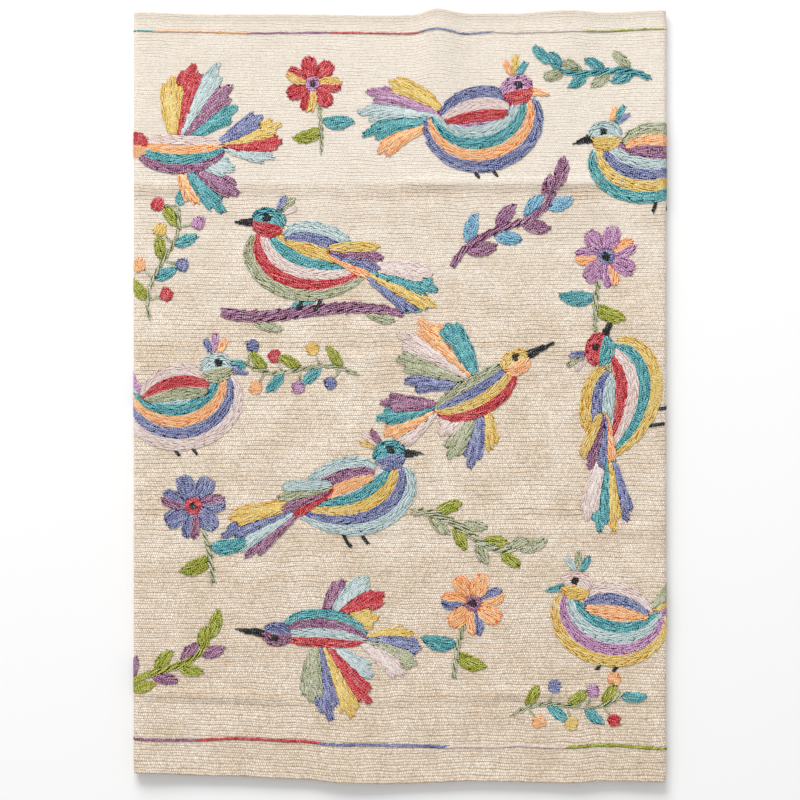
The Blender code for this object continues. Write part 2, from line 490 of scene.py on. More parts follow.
def crease_shade(nodes, along, x, wandering):
    """How strongly the painted shadow beside the creases darkens the cloth and strengthens its weave
    lines.
    """
    crease_shadow = 0.0
    for edge, depth, left, right in CREASE_SHADOW_BANDS:
        below = edge - wandering
        strength = (x / FOLDED_WIDTH + 0.5) * (right - left) + left
        broken = nodes.cloud(along / 60, edge / 0.02, 51).step(0.34, 0.62)
        within = below.step(-0.0005, 0.0015) * below.step(1.8 * depth, 0.7 * depth)
        crease_shadow = within * strength * (broken + 0.35) + crease_shadow
    return crease_shadow


def cotton_material():
    """Undyed cotton in a plain weave. Each rib is two picks, with hollows between them that are
    painted tan-brown as shade.
    """
    nodes = Nodes("woven_cotton")
    along, rib, _ = nodes.parts(nodes.attribute("weave", "Vector"))
    along = along * 1000
    x, y, _ = nodes.parts(nodes.place())
    far_side = rib.step(RIB_COUNT * 0.45, RIB_COUNT * 0.78)
    near_side = rib.step(RIB_COUNT * 0.30, RIB_COUNT * 0.14)
    wandering = y - (nodes.cloud(along / 30, 0, 41) - 0.5) * 0.007
    crease_shadow = crease_shade(nodes, along, x, wandering)
    patchy = nodes.cloud(along / 40, rib / 5, 31, 3.0).step(0.42, 0.66)
    # Stronger weave lines: in random patches, and in the painted shadow below the creases.
    coarse_weave_and_crease_shadow = patchy * 0.7 + crease_shadow * 0.6
    fine_side = far_side * (1 - crease_shadow * 0.75)

    # Each rib sways, and its two picks are rows of beads where warp threads cross them.
    line = rib + (nodes.cloud(along / 20, rib / 2, 9) - 0.5) * 0.65
    pick = (line * 2).floor()
    slub = nodes.cloud(along / 16, pick * 3.7, 4)
    drift = nodes.cloud(along / 34, rib / 4.5, 6) * 3.6
    drift = nodes.cloud(along / 9, rib / 1.4, 12) * 0.9 + drift
    column = along / 2.40 + pick * 0.5 + drift
    bead = column.wave()
    own = nodes.speck((column + 0.5).floor(), pick)
    fuzz = nodes.speck((along / 1.20).floor(), (line * 4).floor())

    # Hollows lie between the ribs, in dashes, and smaller gaps between the beads; both are painted
    # dark, as the shade that falls in them.
    pick_edge = ((line * 2).share() * 2 - 1).size().step(0.25, 1.0)
    dash = nodes.cloud(along / 3.6, (line + 0.5).floor() * 5.3, 2, 3.0).step(0.36, 0.60)
    from_edge = ((line + 0.5).share() * 2 - 1).size()
    rib_edge = 1 - (from_edge / (coarse_weave_and_crease_shadow * 0.20 + 0.22)).step(0.1, 1.0)
    hollow_shade = rib_edge * (own * 0.48 + dash * 0.44 + coarse_weave_and_crease_shadow * 0.34) * (1.40 - bead * 1.00)
    hollow_shade = hollow_shade * (1 - fine_side * 0.46 - near_side * 0.34) * (crease_shadow * 0.5 + 1)
    parted = (1 - bead) * (pick_edge * 0.42 + 0.50) + near_side * pick_edge * 0.26
    gap_shade = parted * (own * 0.60 + 0.62) * (1 - fine_side * 0.58)

    # Colours laid one over another: cloudy yarn, painted light beyond the main crease, tan patches
    # with the painted shadow below the creases, and painted shade in the hollows and gaps.
    cloudy = nodes.cloud(along / 55, rib / 7, 0, 3.0).step(0.3, 0.7)
    # Painted light: beyond the main crease, where the cloth faces the light, it is painted paler,
    # more so towards the right.
    crease_painted_light = wandering.step(0.2535, 0.2560) * (x / FOLDED_WIDTH + 0.5)
    margin = rib.step(RIB_COUNT - 4.0, RIB_COUNT - 1.0)
    worn = nodes.cloud(along / 14, rib / 2.5, 21, 3.0).step(0.48, 0.72)
    husk = nodes.cloud(along / 2.6, rib * 1.3, 17, 1.0).step(0.735, 0.79)
    # Tan: random worn patches, and the painted shadow below the creases.
    tan_patches_and_crease_shadow = (worn * 0.16 + patchy * 0.08) * (1 - far_side * 0.8) + crease_shadow * 0.40
    colour = (0.83, 0.730, 0.592, 1)
    for share, tint in (
        (cloudy, (0.98, 0.905, 0.795, 1)),
        (far_side * 0.9, (0.86, 0.80, 0.715, 1)),
        (crease_painted_light * 0.45, (0.93, 0.88, 0.80, 1)),
        (margin * 0.6, (0.70, 0.64, 0.55, 1)),
        (slub.step(0.40, 0.75) * (0.50 - far_side * 0.40), (0.98, 0.93, 0.85, 1)),
        (tan_patches_and_crease_shadow, (0.64, 0.49, 0.34, 1)),
        (gap_shade * 0.95, (0.42, 0.265, 0.145, 1)),
        (hollow_shade, (0.40, 0.24, 0.12, 1)),
        (husk * 0.55, (0.20, 0.14, 0.08, 1)),
    ):
        colour = nodes.mix(share, colour, tint)
    uneven = ((fuzz - 0.5) * 1.05 + (own - 0.5) * 0.45) * (1 - fine_side * 0.55) + 0.5
    tone = nodes.mix(uneven, (0.76, 0.725, 0.675, 1), (1.24, 1.255, 1.28, 1))

    # One slight crease runs up the far right of the face, too fine for the mesh.
    long_crease = 1 - (x - 0.120).size().step(0.0, 0.007)
    long_crease = long_crease * y.step(0.150, 0.180) * y.step(0.365, 0.335)
    height = bead * (1 - pick_edge) - hollow_shade * 0.9 + slub * 0.4 + long_crease * 1.6
    values = {
        "Base Color": nodes.mix(1.0, colour, tone, "MULTIPLY"),
        "Roughness": 0.98 - bead * 0.10,
        "Sheen Weight": 0.10,
        "Specular IOR Level": 0.2,
    }
    return nodes.complete(values, height, 0.9, 0.0004)


def add_object(name, data):
    """Adds an object with its mesh, light or camera to the scene."""
    added = bpy.data.objects.new(name, data)
    bpy.context.scene.collection.objects.link(added)
    return added


cloth = add_object("woven_cloth", woven_mesh())
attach(cloth, "root")
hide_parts("rug")
cloth.data.materials.append(cotton_material())


# The embroidery. Dyed wool stitched through the cloth, in straight stitches that lie side by
# side along each band of a plain folk bird, flower, leaf or berry. It is drawn in millimetres,
# along and across the rug from the middle of its face.
MM = 0.001
POINTS = 48
LANE = 1.40
STITCH_LENGTHS = (9.0, 16.0)
SHORTEST_STITCH = 1.8
RAGGED_START = (-1.2, 1.0)
RAGGED_STOP = (-2.6, 2.2)
STITCH_OVERLAP = 2.2
STITCH_SWAY = 0.08
STITCHES_A_PIECE = 9000
# Short stitches where the cloth bends, and long, wide and flat ones on the underside.
FOLD_SPAN = (300.0, 336.0)
FOLD_STITCH = 3.6
UNDERSIDE_STOP = -345.0
UNDER_LANE = 2.4
UNDER_LENGTHS = (14.0, 20.0)
PRESSED_FROM = -314.0
PRESSED_FADE = 10.0
# The stitched part of the cloth, and the cells that say where it is covered.
STITCHED_FROM = -915.0
STITCHED_TO = 372.0
STITCHED_HALF_WIDTH = 440
CUT_END_MARGIN = 12
CELLS_PER_MM = 2
CELLS_MARGIN = 60
CELLS_ALONG = 1500
CELLS_ACROSS = 1000
# Heights are in metres above the sheet's middle surface.
THREAD_HEIGHT = 0.00125
THREAD_RISE = 0.00058
THREAD_END_DROP = 0.0004
UNDER_HEIGHT = 0.00085
UNDER_RISE = 0.00050
THREAD_SPREAD = 1.08
UNDER_SPREAD = 0.27
PLY_PITCH = 2.7
PADDING_HEIGHT = 0.00122
PADDING_STEP = 0.00002
PADDING_LEVELS = 16
PADDING_STOP = STITCHED_TO - 8
PADDING_INSET = 0.5
PADDING_THINNEST = 0.9
PADDING_STATIONS = 14
PADDING_RING = np.array([[-1, 0.6], [-1, 1.0], [1, 1.0], [1, 0.6]])
# The padding's wool is painted as dark as a strand's shaded sides, as shade in the gaps between the
# stitches above.
PADDING_PAINTED_SHADE = 0.22
PATTERN_REPEAT = 810.0
YARN_COLOURS = {
    "red": (198, 48, 54),
    "violet": (112, 118, 164),
    "teal": (70, 156, 162),
    "mustard": (226, 192, 94),
    "lime": (150, 154, 34),
    "sage": (172, 174, 136),
    "pink": (230, 211, 204),
    "aqua": (188, 206, 206),
    "sky": (116, 172, 198),
    "peach": (242, 182, 118),
    "plum": (146, 90, 124),
    "mauve": (186, 130, 174),
    "black": (18, 17, 18),
}
shapes = []


class Place:
    """Where a motif lies: its middle, its turn in degrees, its size, and whether it is mirrored."""

    def __init__(self, along, across, turn, size, mirrored):
        self.middle = np.array([along, across])
        self.turn = math.radians(turn)
        self.size = size
        self.hand = -1 if mirrored else 1

    def __call__(self, line):
        local = line * (self.hand * self.size, self.size)
        c, s = math.cos(self.turn), math.sin(self.turn)
        return self.middle + local @ np.array([[c, s], [-s, c]])


def curve(*pulls):
    """A smooth line from the first point to the last, drawn towards those between."""
    share = np.linspace(0, 1, POINTS)[:, None]
    lines = [np.tile(np.array(pull, float), (POINTS, 1)) for pull in pulls]
    while len(lines) > 1:
        lines = [near + (far - near) * share for near, far in zip(lines, lines[1:])]
    return lines[0]


def heading(line, spot):
    """The way that a line runs at one of its points, in degrees."""
    ahead = line[min(spot + 1, POINTS - 1)] - line[max(spot - 1, 0)]
    return math.degrees(math.atan2(ahead[1], ahead[0]))


def polar(root, reach, degrees):
    """The point at a distance and an angle from a root."""
    angle = math.radians(degrees)
    return np.array([root[0] + reach * math.cos(angle), root[1] + reach * math.sin(angle)])


def fill(place, line, half_width, colours, rise=0.5, fall=0.5, slant=0, joined=False):
    """Fills a shape with one band of each colour along its line. Small powers make blunt ends."""
    line = place(line)
    ahead = np.gradient(line, axis=0)
    ahead /= np.linalg.norm(ahead, axis=1)[:, None]
    out = np.stack([-ahead[:, 1], ahead[:, 0]], axis=1)
    share = np.linspace(0, 1, POINTS)
    peak = rise / (rise + fall)
    swell = (share / peak) ** rise * ((1 - share) / (1 - peak)) ** fall
    width = half_width * place.size * swell
    bands = []
    for number, colour in enumerate(colours):
        middle = (2 * number + 1) / len(colours) - 1
        centre = line + out * (width * middle)[:, None]
        bands.append((centre, width / len(colours), colour, slant))
    if joined:
        shapes[-1] += bands
    else:
        shapes.append(bands)


def fan(place, root, start, reach, colours, angles, half_width, bend=0, rise=0.6, fall=0.3):
    """Feathers spread from a root between two angles. A wide one parts in three at its tip."""
    quills = (0, -1, 1) if half_width > 6 else (0,)
    for number, colour in enumerate(colours):
        share = number / (len(colours) - 1)
        angle = angles[0] + (angles[1] - angles[0]) * share
        length = reach[0] + (reach[1] - reach[0]) * math.sin(math.pi * share)
        base = polar(root, start, angle)
        for quill in quills:
            own_length = length * (1 - 0.10 * abs(quill) - chance.uniform(0, 0.08))
            parted = quill * math.degrees(0.74 * half_width / length)
            middle = polar(root, 0.6 * length, angle + bend / 2 + 1.15 * parted)
            tip = polar(root, own_length, angle + bend + parted)
            width = half_width if len(quills) == 1 else 0.46 * half_width
            line = curve(base, middle, tip)
            fill(place, line, width, (colour,), rise, fall, joined=quill != 0)


def turned(colours, by):
    """The same colours, starting further along the list."""
    by %= len(colours)
    return colours[by:] + colours[:by]


def head(place, at, size, colours, beak, beak_angle, beak_length):
    """A round head with a black eye, and a pointed beak."""
    x, y = at
    fill(place, curve((x - 1.5, y + 4), (x + 2, y + 4.6), (x + 5.5, y + 4)), 3.4, ("black",))
    left = (x - size, y - 0.3 * size)
    right = (x + size, y - 0.1 * size)
    fill(place, curve(left, (x, y + 0.1 * size), right), size, colours)
    root = polar(at, 0.7 * size, beak_angle)
    tip = polar(root, beak_length, beak_angle)
    fill(place, curve(root, (root + tip) / 2 + (0, 1.5), tip), 4.2, (beak,), 0.12, 0.8)


def feet(place, spots, top, reach):
    """Two short black feet."""
    for foot in spots:
        line = curve((foot, top), (foot + 2, top - 0.6 * reach), (foot + 8, top - reach))
        fill(place, line, 2.0, ("black",), 0.1, 0.1)


def perched_bird(place, by):
    """A bird at rest, its wing folded and its long tail hanging behind."""
    band = ["red", "pink", "teal", "mustard", "violet", "aqua", "plum", "peach", "sage"]
    band = turned(band, by)
    head(place, (58, 30), 16, (band[3], band[1]), "black", -8, 24)
    crest = [band[5], band[0], band[2]]
    fan(place, (50, 37), 6, (24, 28), crest, (96, 140), 3.4, 12, 0.4, 0.5)
    wing_tips = [band[4], band[7], band[5], band[8]]
    fan(place, (2, 8), 8, (62, 70), wing_tips, (168, 200), 5.4, 4, 0.4, 0.35)
    fill(place, curve((40, 14), (20, 26), (-22, 12), (-26, 4)), 18, band[4:7], 0.4, 0.35)
    fill(place, curve((62, 18), (56, -16), (10, -34), (-52, -4)), 31, band[:5], 0.38, 0.6)
    fan(place, (-30, -4), 6, (92, 106), band[2:6], (176, 204), 9.4, 6, 0.5, 0.25)
    feet(place, (-6, 12), -36, 22)


def flying_bird(place, by):
    """A bird in flight with both wings spread and its tail fanned."""
    band = ["violet", "mustard", "red", "aqua", "plum", "teal", "peach", "pink", "sage"]
    band = turned(band, by)
    head(place, (52, 12), 14, (band[2], band[6]), "black", 4, 36)
    fill(place, curve((46, 8), (4, -14), (-44, -4)), 21, band[4:8], 0.4, 0.5)
    fan(place, (8, 2), 6, (80, 104), band[1:6], (82, 140), 12.0, 14, 0.55, 0.3)
    fan(place, (4, -2), 6, (64, 84), band[3:7], (218, 272), 11.0, -12, 0.55, 0.3)
    fan(place, (-34, 0), 4, (64, 76), band[0:4], (160, 204), 9.6, -4, 0.5, 0.3)


def crowned_bird(place, by):
    """A plump bird that holds its curved tail plumes up."""
    band = ["teal", "peach", "violet", "pink", "red", "sage", "mustard", "mauve", "aqua"]
    band = turned(band, by)
    head(place, (48, 28), 15, (band[7], band[1]), band[4], -16, 22)
    crown = [band[3], band[0], band[4]]
    fan(place, (46, 36), 6, (24, 28), crown, (56, 112), 3.6, 0, 0.7, 0.4)
    fill(place, curve((40, 10), (6, 26), (-30, 2)), 18, band[5:8], 0.35, 0.5)
    fill(place, curve((54, 20), (56, -30), (-26, -42), (-40, 8)), 30, band[1:6], 0.4, 0.5)
    fan(place, (-24, 0), 8, (78, 94), band[0:5], (114, 174), 9.2, 26, 0.5, 0.3)
    feet(place, (-4, 14), -40, 18)


def leaf(place, root, angle, length, colour, half_width, bend):
    """A pointed leaf that curves away from its root."""
    middle = polar(root, 0.55 * length, angle)
    tip = polar(root, length, angle + bend)
    fill(place, curve(root, middle, tip), half_width, (colour,), 0.7, 0.8)


def sprig(place, by):
    """A curved stem with leaves in pairs and one at its end."""
    greens = turned(["teal", "sage", "lime", "plum", "sky"], by)
    line = curve((-76, -18), (-20, 26), (30, -30), (72, 12))
    fill(place, line, 4.2, greens[:1], 0.1, 0.3, 0.20)
    for number in range(4):
        spot = round((0.16 + 0.24 * number) * (POINTS - 1))
        for side in (-1, 1):
            angle = heading(line, spot) + side * 48
            colour = greens[(number + (side > 0)) % 2]
            leaf(place, line[spot + side], angle, 38 - 2 * number, colour, 7.8, side * -14)
    leaf(place, line[-1], heading(line, POINTS - 1), 38, greens[0], 8.2, 6)


def bough(place, by):
    """A thick bough for a bird to stand on, with a few narrow leaves."""
    barks = turned(["teal", "plum", "sage"], by)
    line = curve((-112, 6), (-50, -20), (30, 24), (112, -8))
    fill(place, line, 7.0, barks[:1], 0.12, 0.25, 0.16)
    for number, spot in enumerate((9, 19, 37, 44)):
        side = 1 if number % 2 else -1
        angle = heading(line, spot) + side * 38
        leaf(place, line[spot], angle, 42, barks[1 + number % 2], 6.4, side * -18)


def flower(place, by):
    """A round flower on a stem with two leaves."""
    band = turned(["red", "mustard", "mauve", "peach", "violet", "plum"], by)
    fill(place, curve((-4, 0), (0, 0), (4, 0)), 4, ("black",))
    fill(place, curve((-10, 0), (0, 0), (10, 0)), 10, band[2:3])
    for number in range(7):
        ray = polar((0, 0), 1, 90 + 360 * number / 7)
        colours = band[:2] if number % 2 else band[:1]
        fill(place, curve(5 * ray, 20 * ray, 40 * ray), 11.5, colours, 0.7, 0.4)
    fill(place, curve((0, 0), (6, -46), (-10, -100)), 2.8, ("sage",), 0.1, 0.1, 0.20)
    leaf(place, (2, -54), -30, 46, "teal", 9.8, 20)
    leaf(place, (0, -66), 205, 44, "lime", 9.4, -20)


def berries(place, by):
    """A thin branch with round berries and small leaves."""
    band = turned(["red", "peach", "violet", "mustard", "mauve"], by)
    line = curve((-66, -10), (-10, 28), (26, -24), (68, 16))
    fill(place, line, 2.2, ("sage",), 0.1, 0.1, 0.20)
    for number in range(6):
        spot = 6 + 8 * number
        side = 1 if number % 2 else -1
        angle = heading(line, spot)
        berry = polar(line[spot], 22, angle + 70 * side)
        green = "teal" if number % 2 else "lime"
        fill(place, curve(berry - (7.5, 0), berry, berry + (7.5, 0)), 7.5, [band[number % 5]])
        fill(place, curve(line[spot], (line[spot] + berry) / 2, berry), 1.2, ("sage",), 0.1, 0.1)
        leaf(place, line[spot], angle - 50 * side, 30, green, 6.6, 8 * side)


PATTERN = (
    # motif, along, across, turn, size, mirrored, first colour
    (flying_bird, -258, 296, 8, 1.12, True, 0),
    (flower, -104, 374, 12, 0.84, False, 0),
    (crowned_bird, 84, 330, 4, 1.18, False, 6),
    (sprig, 236, 388, 2, 0.80, True, 0),
    (perched_bird, 312, 288, 8, 1.12, True, 2),
    (berries, -280, 160, 66, 1.05, False, 0),
    (perched_bird, -94, 168, -6, 1.15, True, 8),
    (bough, -104, 102, 2, 1.0, False, 1),
    (sprig, 122, 204, 26, 1.05, False, 3),
    (flower, 244, 168, -14, 0.92, True, 2),
    (crowned_bird, -272, 0, 4, 1.18, False, 7),
    (berries, -116, 32, 4, 1.0, True, 2),
    (flying_bird, 86, 8, 22, 1.15, False, 4),
    (perched_bird, 250, -14, 74, 1.12, False, 8),
    (flower, -246, -128, 20, 0.96, False, 4),
    (perched_bird, -72, -112, 10, 1.14, False, 1),
    (sprig, 78, -156, -30, 0.92, False, 1),
    (crowned_bird, 262, -258, -4, 1.16, True, 5),
    (sprig, -284, -324, 24, 0.95, False, 2),
    (flying_bird, -88, -280, 168, 1.10, False, 7),
    (flower, 86, -244, -20, 0.94, True, 3),
    (berries, 196, -368, 0, 1.0, False, 1),
)


def over_a_fold(along):
    """Whether the cloth bends at a place along it."""
    return FOLD_SPAN[0] < abs(along) < FOLD_SPAN[1]


def lay_stitches(line, half_width, colour, slant):
    """One band's stitches, end to end in lanes: middle, angle, length, lane width and colour."""
    if line[:, 0].max() < STITCHED_FROM or line[:, 0].min() > STITCHED_TO:
        return []
    under = line[:, 0].mean() < UNDERSIDE_STOP
    lane_width = UNDER_LANE if under else LANE
    shortest, longest = UNDER_LENGTHS if under else STITCH_LENGTHS
    run = np.concatenate([[0], np.cumsum(np.linalg.norm(np.diff(line, axis=0), axis=1))])
    laid = []
    lanes = max(1, round(2 * half_width.max() / lane_width))
    for lane in range(lanes):
        offset = (lane - (lanes - 1) / 2) * lane_width
        inside = np.nonzero(half_width >= abs(offset) - 0.35 * lane_width)[0]
        if not len(inside):
            continue
        start = run[inside[0]] + chance.uniform(*RAGGED_START)
        stop = run[inside[-1]] + chance.uniform(*RAGGED_STOP)
        spot = start - chance.uniform(0, 0.5 * shortest)
        while spot < stop - 1.5:
            reach = chance.uniform(shortest, longest)
            if over_a_fold(np.interp(spot, run, line[:, 0])):
                reach = FOLD_STITCH
            ends = np.array([max(spot, start), min(spot + reach, stop)])
            spot += reach
            if ends[1] - ends[0] < SHORTEST_STITCH:
                continue
            x, y = (np.interp(ends, run, way) for way in line.T)
            angle = math.atan2(y[1] - y[0], x[1] - x[0]) + chance.normal(0, STITCH_SWAY) + slant
            middle_x = x.mean() - math.sin(angle) * offset
            middle_y = y.mean() + math.cos(angle) * offset
            laid.append((middle_x, middle_y, angle, ends[1] - ends[0], lane_width, colour))
    return laid


def cells_of(stitch):
    """The cells of the cloth that a stitch passes over, from its one end to its other."""
    x, y, angle, length, _, _ = stitch
    spots = np.linspace(-0.5, 0.5, max(4, int(length * CELLS_PER_MM))) * length
    columns = (x + spots * math.cos(angle) - STITCHED_FROM + CELLS_MARGIN) * CELLS_PER_MM
    rows = (y + spots * math.sin(angle) + CELLS_ACROSS / 2) * CELLS_PER_MM
    return columns.astype(int), rows.astype(int)


def uncovered(stitch, taken):
    """The longest part of a stitch that no earlier shape covers, or nothing."""
    x, y, angle, length, width, colour = stitch
    columns, rows = cells_of(stitch)
    free = np.concatenate([[False], ~taken[columns, rows], [False]])
    starts, stops = np.flatnonzero(free[1:] != free[:-1]).reshape(-1, 2).T
    if not len(starts) or max(stops - starts) < 4:
        return None
    longest = np.argmax(stops - starts)
    ends = np.array([starts[longest], stops[longest] - 1])
    ends = (ends / (len(columns) - 1) - 0.5) * length
    middle = ends.mean()
    x += middle * math.cos(angle)
    y += middle * math.sin(angle)
    return x, y, angle, ends[1] - ends[0], width, colour


def all_stitches():
    """Every stitch on the rug. Where shapes cross, the one drawn first is on top."""
    taken = np.zeros((CELLS_ALONG * CELLS_PER_MM, CELLS_ACROSS * CELLS_PER_MM), bool)
    kept = []
    for bands in shapes:
        laid = [stitch for band in bands for stitch in lay_stitches(*band)]
        laid = [stitch for stitch in laid if abs(stitch[1]) < STITCHED_HALF_WIDTH]
        laid = [s for s in laid if STITCHED_FROM + CUT_END_MARGIN < s[0] < STITCHED_TO]
        kept += [part for part in (uncovered(stitch, taken) for stitch in laid) if part]
        for stitch in laid:
            columns, rows = cells_of(stitch)
            for aside in (-2, -1, 0, 1, 2):
                taken[columns + aside, rows] = True
                taken[columns, rows + aside] = True
    return kept


def thread_shape():
    """One stitch to repeat: its points, triangles and map, and the way round it to each point."""
    shape = bmesh.new()
    bmesh.ops.create_uvsphere(shape, u_segments=5, v_segments=3, radius=1.0)
    edge_up = Matrix.Rotation(math.radians(18), 3, "Z")
    bmesh.ops.rotate(shape, verts=shape.verts, cent=(0, 0, 0), matrix=edge_up)
    bmesh.ops.triangulate(shape, faces=shape.faces)
    points = np.array([vertex.co for vertex in shape.verts])
    triangles = np.array([[vertex.index for vertex in face.verts] for face in shape.faces])
    shape.free()
    run = np.sign(points[:, 2]) * abs(points[:, 2]) ** 0.4
    girth = np.hypot(points[:, 0], points[:, 1])
    points = np.stack([run / 2, points[:, 0] / girth.max() / 2, points[:, 1] / girth.max()], axis=1)
    around = np.arctan2(points[:, 2], 2 * points[:, 1]) / (2 * math.pi) % 1
    # On the map, a triangle across the seam stays whole, and a tip lies between its neighbours.
    corner = around[triangles]
    tips = girth[triangles] < 0.01
    first = np.where(tips, 9, corner).min(axis=1, keepdims=True)
    corner = np.where(corner - first > 0.5, corner - 1, corner)
    corner = np.where(tips, np.where(tips, 0, corner).sum(axis=1, keepdims=True) / 2, corner)
    ahead = points[:, 0][triangles] + 0.5
    flat = np.stack([0.3 + 0.5 * corner, 0.05 + 0.9 * ahead], axis=-1)
    return points, triangles, flat, around


def linear(colour):
    """A screen colour of 0 to 255 as the shader's linear one."""
    share = np.array(colour) / 255
    return np.where(share < 0.04045, share / 12.92, ((share + 0.055) / 1.055) ** 2.4)


def to_underside(along):
    """From 0 on the face to 1 on the underside, across the left fold."""
    return smooth((PRESSED_FROM - along) / PRESSED_FADE)


def wool_mesh(name, places, faces, tones, values):
    """A mesh of many like shapes, with one tone each, and with other values at its points."""
    mesh = bpy.data.meshes.new(name)
    mesh.from_pydata(places.reshape(-1, 3), [], faces)
    colours = np.concatenate([tones, np.ones((len(tones), 1))], axis=1)
    colours = colours.repeat(len(mesh.vertices) // len(tones), axis=0)
    yarn = mesh.color_attributes.new("yarn", "FLOAT_COLOR", "POINT")
    yarn.data.foreach_set("color", colours.ravel().astype(np.float32))
    for label, value in values.items():
        attribute = mesh.attributes.new(label, "FLOAT", "POINT")
        attribute.data.foreach_set("value", value.ravel().astype(np.float32))
    return mesh


def stitched_piece(name, stitches, tone_power=1.0):
    """Makes one mesh of many stitches, each pulled down into the cloth at both of its ends."""
    points, triangles, corners, around = thread_shape()
    x, y, angle, length, width = np.array([stitch[:5] for stitch in stitches]).T[:, :, None] * 1.0
    count = len(stitches)
    run = points[:, 0] * (length + STITCH_OVERLAP)
    aside = points[:, 1] * width * (THREAD_SPREAD + UNDER_SPREAD * to_underside(x))
    from_middle = x + run * np.cos(angle) - aside * np.sin(angle)
    under = to_underside(from_middle)
    along = FACE_MIDDLE + MM * from_middle
    across = MM * (y + run * np.sin(angle) + aside * np.cos(angle))
    lift = chance.uniform(-0.00010, 0.00010, (count, 1))
    middle = THREAD_HEIGHT + (UNDER_HEIGHT - THREAD_HEIGHT) * under + lift
    middle = np.where(abs(points[:, 0]) > 0.49, middle - THREAD_END_DROP, middle)
    height = middle + points[:, 2] * (THREAD_RISE + (UNDER_RISE - THREAD_RISE) * under)
    places = on_the_cloth(np.clip(along, 0, RUG_LENGTH), across, height)
    faces = (np.arange(count)[:, None, None] * len(points) + triangles).reshape(-1, 3)
    tones = np.array([linear(YARN_COLOURS[stitch[5]]) for stitch in stitches])
    uneven = chance.uniform(0.72, 1.50, (count, 1)) * chance.uniform(0.93, 1.07, (count, 3))
    # How high each point stands on its strand: the wool is painted dark low down, as shade, and
    # light along its top, as a highlight.
    crown = np.tile(smooth((points[:, 2] + 0.1) / 1.1), count)
    twist = run / PLY_PITCH + around + chance.uniform(0, 1, (count, 1))
    values = {"crown": crown, "twist": twist}
    # A tone power above 1 paints the stitches darker, as painted shade, and below 1 a little
    # lighter, to offset shade; each stitch's own tone differs at random.
    mesh = wool_mesh(name, places, faces, tones ** (tone_power * uneven), values)
    side = math.ceil(math.sqrt(count))
    cell = np.stack([np.arange(count) % side, np.arange(count) // side], axis=1)
    spots = (cell[:, None, None] + corners) / side
    mesh.uv_layers.new(name="OFBake").data.foreach_set("uv", spots.ravel().astype(np.float32))
    mesh.shade_smooth()
    return add_object(name, mesh)


def padding_piece(name):
    """Makes the padding stitches: a thin first layer of wool under each band's own stitches. Its
    wool is painted dark, as the shade that shows between those stitches.
    """
    strips = []
    tones = []
    for number, bands in enumerate(shapes):
        top = PADDING_HEIGHT - PADDING_STEP * (number % PADDING_LEVELS)
        for line, half_width, colour, _ in bands:
            wide = np.nonzero(half_width > PADDING_THINNEST)[0]
            if len(wide) < 4 or not UNDERSIDE_STOP < line[:, 0].mean() < PADDING_STOP:
                continue
            spots = np.linspace(wide[0], wide[-1], PADDING_STATIONS)
            x, y, half = (np.interp(spots, np.arange(POINTS), run) for run in (*line.T, half_width))
            angle = np.arctan2(np.gradient(y), np.gradient(x))[:, None]
            aside = (half[:, None] - PADDING_INSET) * PADDING_RING[:, 0]
            along = FACE_MIDDLE + MM * (x[:, None] - aside * np.sin(angle))
            across = MM * (y[:, None] + aside * np.cos(angle))
            height = top * np.broadcast_to(PADDING_RING[:, 1], along.shape)
            strips.append(on_the_cloth(along, across, height))
            tones.append(linear(YARN_COLOURS[colour]))
    size = 4 * PADDING_STATIONS
    strip = []
    for ring in range(0, size - 4, 4):
        for side, beside in ((0, 1), (1, 2), (2, 3), (3, 0)):
            strip.append([ring + 4 + side, ring + 4 + beside, ring + beside, ring + side])
    strip += [[0, 1, 2, 3], [size - 1, size - 2, size - 3, size - 4]]
    faces = (np.arange(len(strips))[:, None, None] * size + strip).reshape(-1, 4)
    crown = np.full(len(strips) * size, PADDING_PAINTED_SHADE)
    mesh = wool_mesh(name, np.concatenate(strips), faces, np.array(tones), {"crown": crown})
    return add_object(name, mesh)


def wool_material():
    """Dyed wool. Each strand is painted dark in the hollow beside the next and between its plies, as
    shade, and painted light along its top, as a highlight; it is unevenly dyed.
    """
    nodes = Nodes("crewel_wool")
    crown = Number(nodes, nodes.attribute("crown", "Fac"))
    ply = Number(nodes, nodes.attribute("twist", "Fac")).wave()
    tone_power = nodes.noise(nodes.place(), 420.0)
    fibres = nodes.noise(nodes.place(), 1500.0)
    # Painted shade and highlight: the wool is darkened low on each strand and between its plies, and
    # lightened along its top; the uneven dye shifts this too.
    shade_highlight_and_dye = 3.10 - crown.step(0.12, 0.80) * 2.46 - (tone_power - 0.5) * 1.1 + (0.57 - ply) * 0.74
    sockets = {"Color": nodes.attribute("yarn", "Color"), "Gamma": shade_highlight_and_dye}
    values = {
        "Base Color": nodes.node("ShaderNodeGamma", {}, sockets).outputs[0],
        "Roughness": 0.98 - crown * 0.12,
        "Sheen Weight": 0.15,
        "Specular IOR Level": 0.2,
    }
    return nodes.complete(values, fibres + ply * 0.8, 0.5, 0.0003)


for repeat in (-1, 0):
    for motif, along, across, turn, size, mirrored, first_colour in PATTERN:
        motif(Place(along + repeat * PATTERN_REPEAT, across, turn, size, mirrored), first_colour)
stitches = all_stitches()
stitches.sort(key=lambda stitch: stitch[0])
wool = wool_material()
padding = padding_piece("padding_stitches")
padding.data.materials.append(wool)
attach(padding, "root")
for number, part in enumerate(range(0, len(stitches), STITCHES_A_PIECE)):
    piece = stitched_piece(f"embroidery_{number + 1}", stitches[part : part + STITCHES_A_PIECE])
    piece.data.materials.append(wool)
    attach(piece, "root")


